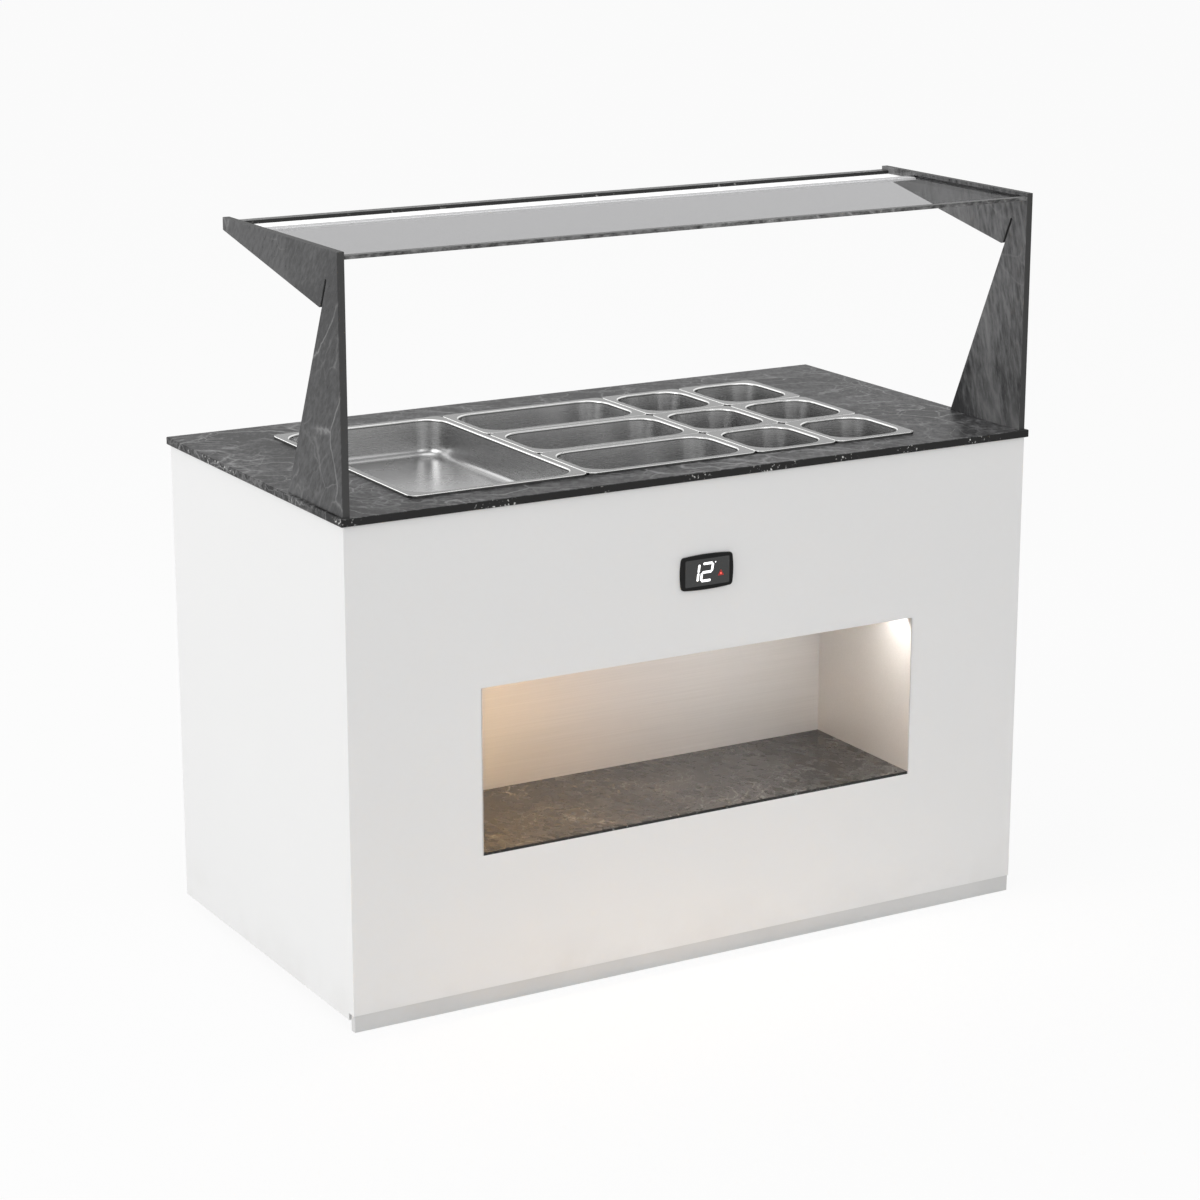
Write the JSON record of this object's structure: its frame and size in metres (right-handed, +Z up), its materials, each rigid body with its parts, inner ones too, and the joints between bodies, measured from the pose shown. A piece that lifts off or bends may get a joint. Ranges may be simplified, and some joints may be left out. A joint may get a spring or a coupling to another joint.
{
  "type": "refrigerated buffet counter",
  "caption": "Box-shaped refrigerated buffet counter with a stone top, lift-out food pans over a cold well, a glass guard on stone supports and a lit niche in its front.",
  "frame": {"origin": "on the floor, under the middle of the counter's outline", "axes": "+X to the diner's right along the front, +Y from the front to the rear, +Z up"},
  "size_m": [1.316, 0.694, 1.26],
  "materials": {
    "panel_white": "satin white laminate on board",
    "skirting_grey": "satin pale grey plastic",
    "board": "raw board",
    "stone": "polished dark stone with pale veins",
    "smoked_glass": "smoked float glass",
    "opal": "opal diffuser",
    "light_metal": "white coated aluminium",
    "pan_steel": "satin stainless steel",
    "sheet_steel": "brushed stainless steel",
    "zinc_steel": "zinc coated steel",
    "foam": "matte foam",
    "compressor_black": "gloss black paint",
    "copper": "drawn copper",
    "brass": "turned brass",
    "black_plastic": "fine textured black plastic",
    "black_gloss": "smoked display window",
    "red_plastic": "red dipped plastic",
    "rubber": "black rubber",
    "black_paint": "gloss black paint",
    "grey_plastic": "grey moulded plastic"
  },
  "bodies": {
    "counter": {"front_panel": "panel_white", "side_panel_left": "panel_white", "side_panel_right": "panel_white", "rear_panel": "panel_white", "base_board": "board", "front_skirting": "skirting_grey", "floor_glides": "black_plastic", "corner_brackets": "zinc_steel", "stone_top": "stone", "support_left": "stone", "support_right": "stone", "support_dowels": "zinc_steel", "front_rail": "stone", "rear_rail": "stone", "canopy_glass": "smoked_glass", "canopy_light_tray": "light_metal", "canopy_light_diffuser": "opal", "pan_bars": "sheet_steel", "well_tub": "sheet_steel", "well_insulation": "foam", "evaporator_coil": "copper", "drain_valve": "brass", "temperature_probe": "sheet_steel", "niche_liner": "sheet_steel", "niche_shelf": "stone", "niche_light_channel": "light_metal", "niche_light_diffuser": "opal", "display_bezel": "black_plastic", "display_window": "black_gloss", "display_body": "black_plastic", "hinge_frame_leaves": "sheet_steel", "door_catch": "grey_plastic", "switch_plate": "grey_plastic", "power_inlet": "black_plastic", "unit_tray": "zinc_steel", "compressor": "compressor_black", "compressor_grommets": "rubber", "condenser": "zinc_steel", "fan_shroud": "zinc_steel", "fan_motor": "black_paint", "refrigerant_pipes": "copper", "electrical_box": "grey_plastic"},
    "door": {"service_door": "panel_white", "door_grille": "zinc_steel", "hinge_door_leaves": "sheet_steel", "door_pull": "sheet_steel"},
    "fan": {"fan_blade": "grey_plastic"},
    "cooling_rocker": {"cooling_switch": "black_plastic"},
    "light_rocker": {"light_switch": "black_plastic"},
    "drain_handle": {"drain_lever": "red_plastic"},
    "pan_full": {"pan_full": "pan_steel"},
    "pan_third_front": {"pan_third_front": "pan_steel"},
    "pan_sixth_front_left": {"pan_sixth_front_left": "pan_steel"},
    "pan_sixth_front_right": {"pan_sixth_front_right": "pan_steel"},
    "pan_third_middle": {"pan_third_middle": "pan_steel"},
    "pan_sixth_middle_left": {"pan_sixth_middle_left": "pan_steel"},
    "pan_sixth_middle_right": {"pan_sixth_middle_right": "pan_steel"},
    "pan_third_rear": {"pan_third_rear": "pan_steel"},
    "pan_sixth_rear_left": {"pan_sixth_rear_left": "pan_steel"},
    "pan_sixth_rear_right": {"pan_sixth_rear_right": "pan_steel"}
  },
  "joints": [
    {"name": "door_hinge", "type": "hinge", "parent": "counter", "child": "door", "pos_m": [-0.379, 0.3104, 0.355], "axis": [0, 0, 1], "range_deg": [0, 110]},
    {"name": "fan_spin", "type": "hinge", "parent": "counter", "child": "fan", "pos_m": [0.16, 0.17, 0.187], "axis": [0, 1, 0], "continuous": true},
    {"name": "cooling_rocker_tip", "type": "hinge", "parent": "counter", "child": "cooling_rocker", "pos_m": [0.485, 0.3055, 0.43], "axis": [1, 0, 0], "range_deg": [-20, 0]},
    {"name": "light_rocker_tip", "type": "hinge", "parent": "counter", "child": "light_rocker", "pos_m": [0.515, 0.3055, 0.43], "axis": [1, 0, 0], "range_deg": [-20, 0]},
    {"name": "drain_lever_turn", "type": "hinge", "parent": "counter", "child": "drain_handle", "pos_m": [-0.018, 0.136, 0.6398], "axis": [0, 1, 0], "range_deg": [0, 90]},
    {"name": "pan_full_lift", "type": "slide", "parent": "counter", "child": "pan_full", "axis": [0, 0, 1], "range_m": [0, 0.2]},
    {"name": "pan_third_front_lift", "type": "slide", "parent": "counter", "child": "pan_third_front", "axis": [0, 0, 1], "range_m": [0, 0.2]},
    {"name": "pan_sixth_front_left_lift", "type": "slide", "parent": "counter", "child": "pan_sixth_front_left", "axis": [0, 0, 1], "range_m": [0, 0.2]},
    {"name": "pan_sixth_front_right_lift", "type": "slide", "parent": "counter", "child": "pan_sixth_front_right", "axis": [0, 0, 1], "range_m": [0, 0.2]},
    {"name": "pan_third_middle_lift", "type": "slide", "parent": "counter", "child": "pan_third_middle", "axis": [0, 0, 1], "range_m": [0, 0.2]},
    {"name": "pan_sixth_middle_left_lift", "type": "slide", "parent": "counter", "child": "pan_sixth_middle_left", "axis": [0, 0, 1], "range_m": [0, 0.2]},
    {"name": "pan_sixth_middle_right_lift", "type": "slide", "parent": "counter", "child": "pan_sixth_middle_right", "axis": [0, 0, 1], "range_m": [0, 0.2]},
    {"name": "pan_third_rear_lift", "type": "slide", "parent": "counter", "child": "pan_third_rear", "axis": [0, 0, 1], "range_m": [0, 0.2]},
    {"name": "pan_sixth_rear_left_lift", "type": "slide", "parent": "counter", "child": "pan_sixth_rear_left", "axis": [0, 0, 1], "range_m": [0, 0.2]},
    {"name": "pan_sixth_rear_right_lift", "type": "slide", "parent": "counter", "child": "pan_sixth_rear_right", "axis": [0, 0, 1], "range_m": [0, 0.2]}
  ]
}
